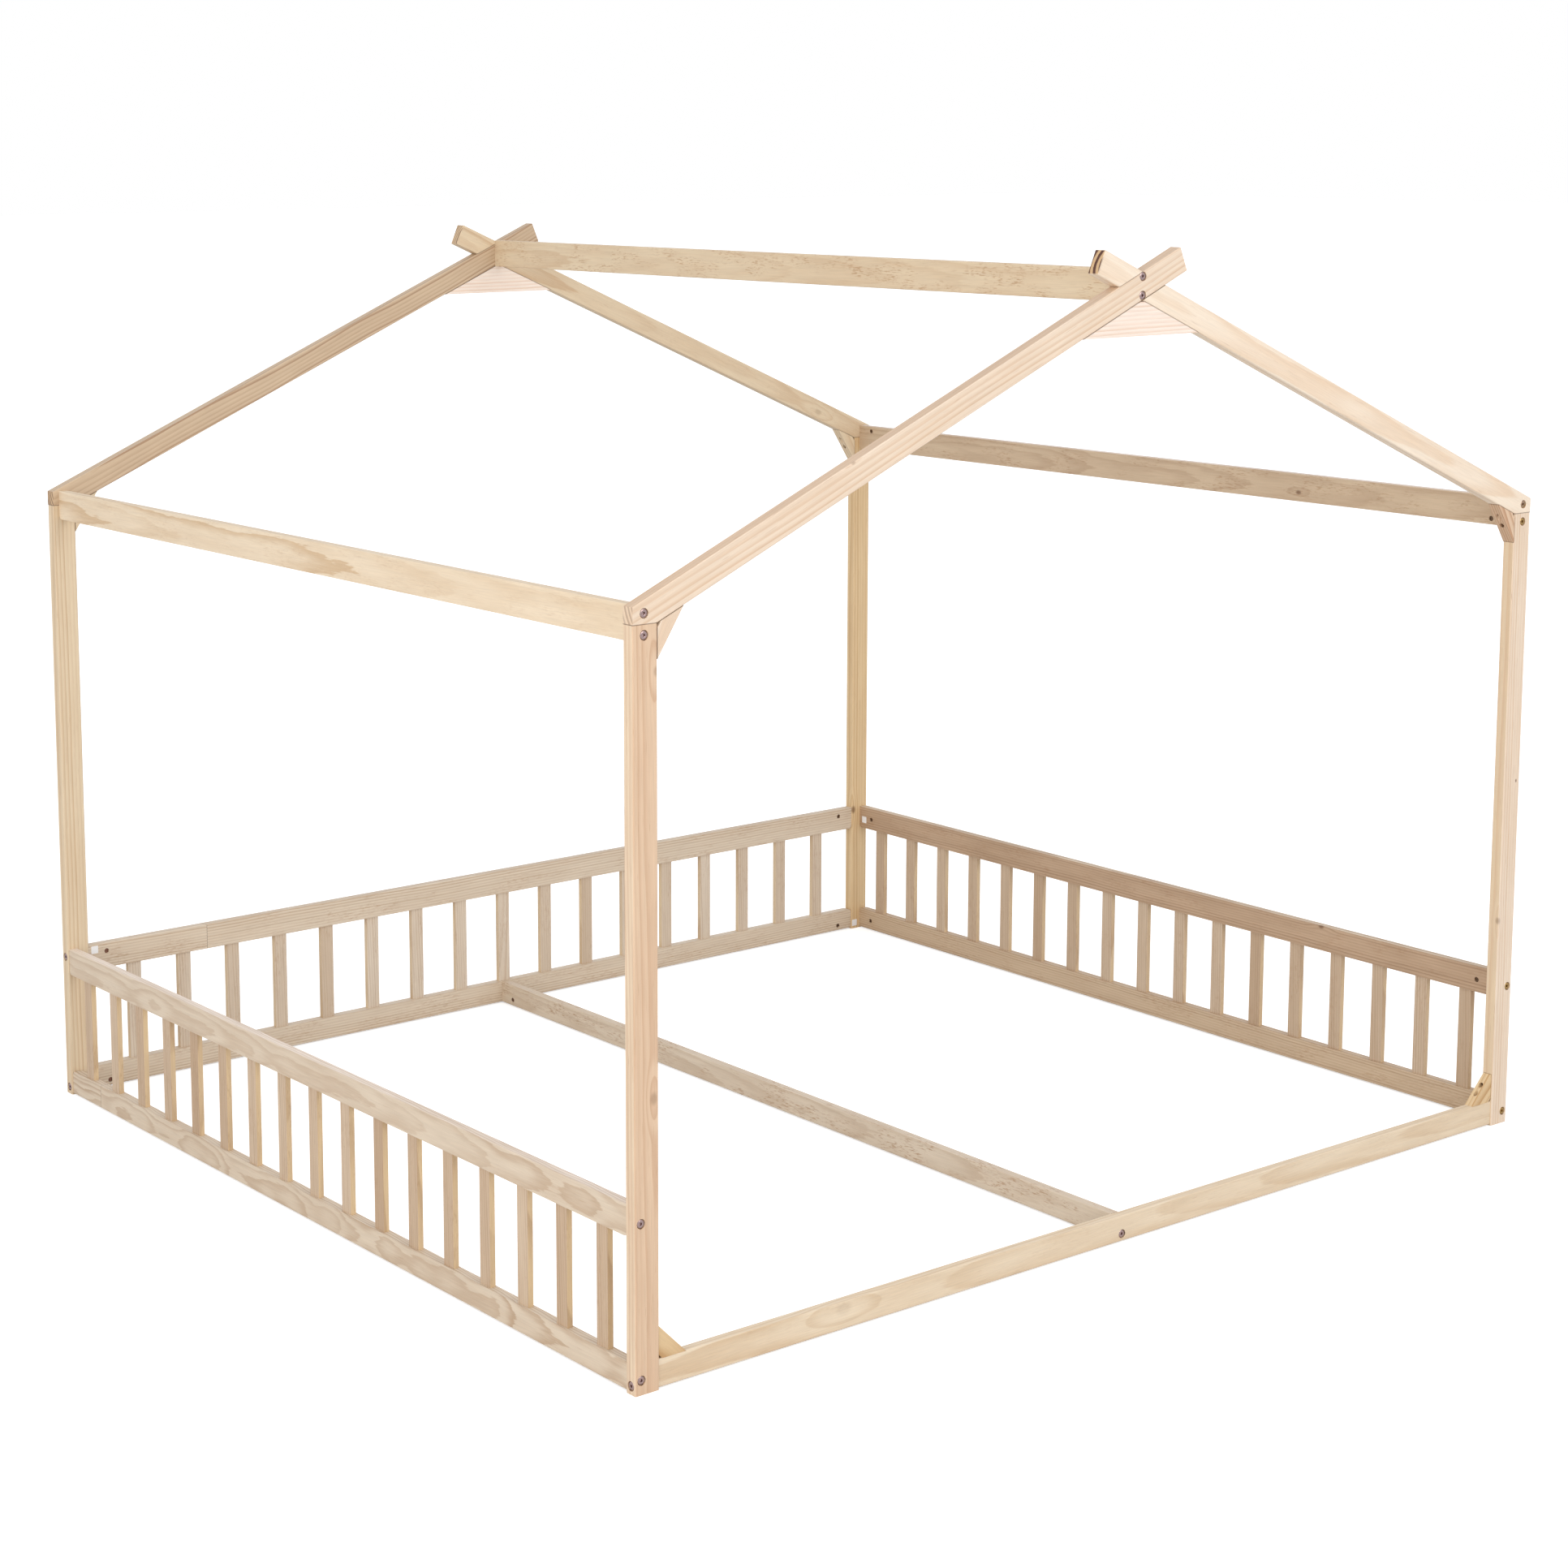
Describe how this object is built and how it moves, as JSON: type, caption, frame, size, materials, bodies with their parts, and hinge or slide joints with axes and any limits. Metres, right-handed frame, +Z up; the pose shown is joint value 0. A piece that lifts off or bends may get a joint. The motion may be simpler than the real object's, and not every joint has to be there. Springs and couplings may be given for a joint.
{
  "type": "house frame bed",
  "caption": "Low floor bed in solid pine inside a house-shaped frame, with slatted guards on three sides, an open front and crossed rafters over an open roof.",
  "frame": {"origin": "on the floor, in the middle of the bed", "axes": "+X to the right along the open front gable, +Y from the front to the back along the ridge, +Z up"},
  "size_m": [2.08, 1.845, 1.6763],
  "materials": {
    "pine_post": "planed and sanded pine, clear matt lacquer",
    "pine_rafter": "planed and sanded pine, clear matt lacquer",
    "pine_rail": "planed and sanded finger-jointed pine, clear matt lacquer",
    "pine_slat": "planed and sanded pine, clear matt lacquer",
    "pine_gusset": "sawn and sanded pine, clear matt lacquer",
    "dowel_beech": "raw fluted beech",
    "bolt_steel": "nickel-plated steel",
    "nut_steel": "zinc-plated steel",
    "screw_steel": "zinc-plated steel"
  },
  "bodies": {
    "root": {"apex_gusset_back": "pine_gusset", "apex_gusset_front": "pine_gusset", "apex_gusset_screws": "screw_steel", "back_guard_low_rail": "pine_rail", "back_guard_slats": "pine_slat", "back_guard_top_rail": "pine_rail", "back_rail_barrel_nuts": "nut_steel", "back_rail_bolts": "bolt_steel", "beam_barrel_nuts": "nut_steel", "beam_bolts": "bolt_steel", "beam_dowels": "dowel_beech", "centre_beam": "pine_rail", "eave_barrel_nuts": "nut_steel", "eave_bolts": "bolt_steel", "eave_gusset_back_left": "pine_gusset", "eave_gusset_back_right": "pine_gusset", "eave_gusset_front_left": "pine_gusset", "eave_gusset_front_right": "pine_gusset", "eave_gusset_screws": "screw_steel", "eave_rail_left": "pine_rail", "eave_rail_right": "pine_rail", "front_low_rail": "pine_rail", "front_rail_barrel_nuts": "nut_steel", "front_rail_bolts": "bolt_steel", "guard_barrel_nuts": "nut_steel", "guard_bolts": "bolt_steel", "left_guard_low_rail": "pine_rail", "left_guard_slats": "pine_slat", "left_guard_top_rail": "pine_rail", "low_gusset_left": "pine_gusset", "low_gusset_right": "pine_gusset", "low_gusset_screws": "screw_steel", "post_back_left": "pine_post", "post_back_right": "pine_post", "post_front_left": "pine_post", "post_front_right": "pine_post", "rafter_back_left": "pine_rafter", "rafter_back_right": "pine_rafter", "rafter_front_left": "pine_rafter", "rafter_front_right": "pine_rafter", "ridge_barrel_nuts": "nut_steel", "ridge_beam": "pine_rail", "ridge_bolts": "bolt_steel", "right_guard_low_rail": "pine_rail", "right_guard_slats": "pine_slat", "right_guard_top_rail": "pine_rail"}
  },
  "joints": []
}
